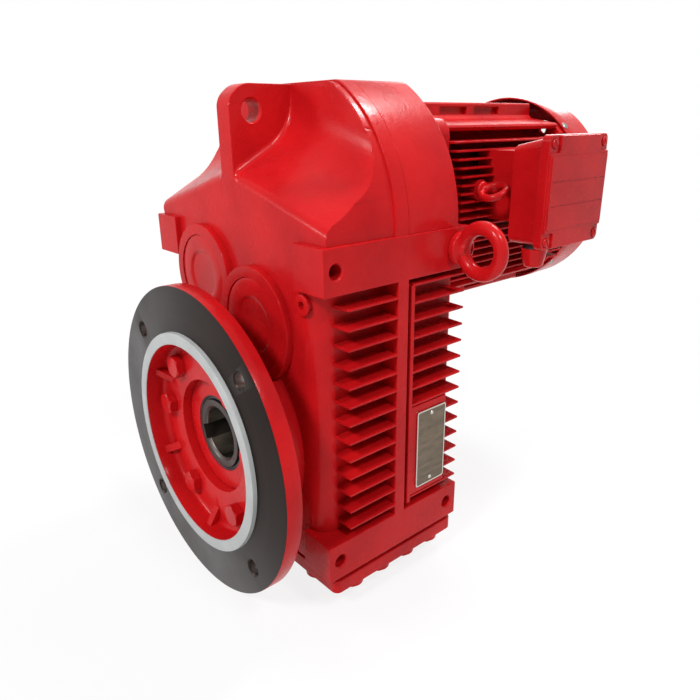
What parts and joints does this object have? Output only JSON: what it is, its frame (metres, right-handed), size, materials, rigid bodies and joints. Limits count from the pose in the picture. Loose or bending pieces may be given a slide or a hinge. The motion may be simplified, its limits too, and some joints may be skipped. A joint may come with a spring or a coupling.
{
  "type": "parallel shaft gear motor",
  "caption": "Parallel shaft gear motor: ribbed gearcase with a hollow output shaft in a round mounting flange, a lifting lug, and a finned motor with terminal box above the rear.",
  "frame": {"origin": "centre of the output flange's mounting face, on the axis of the hollow shaft", "axes": "the output flange faces -Y, the motor points along +Y, the motor stands above the output at +Z, and the terminal box is on the +X side"},
  "size_m": [0.399, 0.605, 0.5465],
  "materials": {
    "red_paint": "gloss enamel",
    "machined_steel": "machined",
    "dark_steel": "dark turned",
    "wound_core": "laminations with varnished windings",
    "black_rubber": "satin",
    "gasket_fibre": "matt",
    "moulded_plastic": "moulded",
    "plate_metal": "bare plate"
  },
  "bodies": {
    "case": {"gearcase": "red_paint", "bottom_cover": "red_paint", "output_flange": "red_paint", "flange_screw_1": "red_paint", "flange_screw_2": "red_paint", "flange_screw_3": "red_paint", "flange_screw_4": "red_paint", "flange_screw_5": "red_paint", "flange_screw_6": "red_paint", "closing_cap_upper": "red_paint", "closing_cap_lower": "red_paint", "oil_plug": "red_paint", "adapter": "red_paint", "drive_endshield": "red_paint", "stator_frame": "red_paint", "rear_endshield": "red_paint", "fan_cover": "red_paint", "terminal_box": "red_paint", "terminal_cover": "red_paint", "cable_plug": "red_paint", "gearcase_eyebolt": "red_paint", "motor_eyebolt": "red_paint", "drain_plug": "machined_steel", "breather_plug": "machined_steel", "front_output_bearing": "machined_steel", "rear_output_bearing": "machined_steel", "upper_front_bearing": "machined_steel", "upper_rear_bearing": "machined_steel", "lower_front_bearing": "machined_steel", "lower_rear_bearing": "machined_steel", "motor_front_bearing": "machined_steel", "motor_rear_bearing": "machined_steel", "stator_core": "wound_core", "front_seal": "black_rubber", "rear_seal": "black_rubber", "input_seal": "black_rubber", "bottom_gasket": "gasket_fibre", "terminal_gasket": "gasket_fibre", "terminal_block": "moulded_plastic", "nameplate": "plate_metal"},
    "output": {"hollow_shaft": "dark_steel", "output_gear": "machined_steel", "output_key": "machined_steel"},
    "lower_train": {"lower_pinion_shaft": "machined_steel", "lower_gear": "machined_steel"},
    "upper_train": {"upper_pinion_shaft": "machined_steel", "upper_gear": "machined_steel"},
    "rotor": {"rotor_shaft": "machined_steel", "rotor_core": "dark_steel", "motor_pinion": "machined_steel", "fan": "moulded_plastic"}
  },
  "joints": [
    {"name": "output_spin", "type": "hinge", "parent": "case", "child": "output", "pos_m": [0, 0.15, 0], "axis": [0, 1, 0], "continuous": true},
    {"name": "lower_spin", "type": "hinge", "parent": "case", "child": "lower_train", "pos_m": [0.042, 0.15, 0.13355], "axis": [0, 1, 0], "continuous": true},
    {"name": "upper_spin", "type": "hinge", "parent": "case", "child": "upper_train", "pos_m": [-0.05965, 0.15, 0.17004], "axis": [0, 1, 0], "continuous": true},
    {"name": "rotor_spin", "type": "hinge", "parent": "case", "child": "rotor", "pos_m": [0, 0.15, 0.2313], "axis": [0, 1, 0], "continuous": true}
  ],
  "couplings": [
    {"joint": "upper_spin", "follows": "rotor_spin", "ratio": -0.35714},
    {"joint": "lower_spin", "follows": "rotor_spin", "ratio": 0.11039},
    {"joint": "output_spin", "follows": "rotor_spin", "ratio": -0.036797}
  ]
}
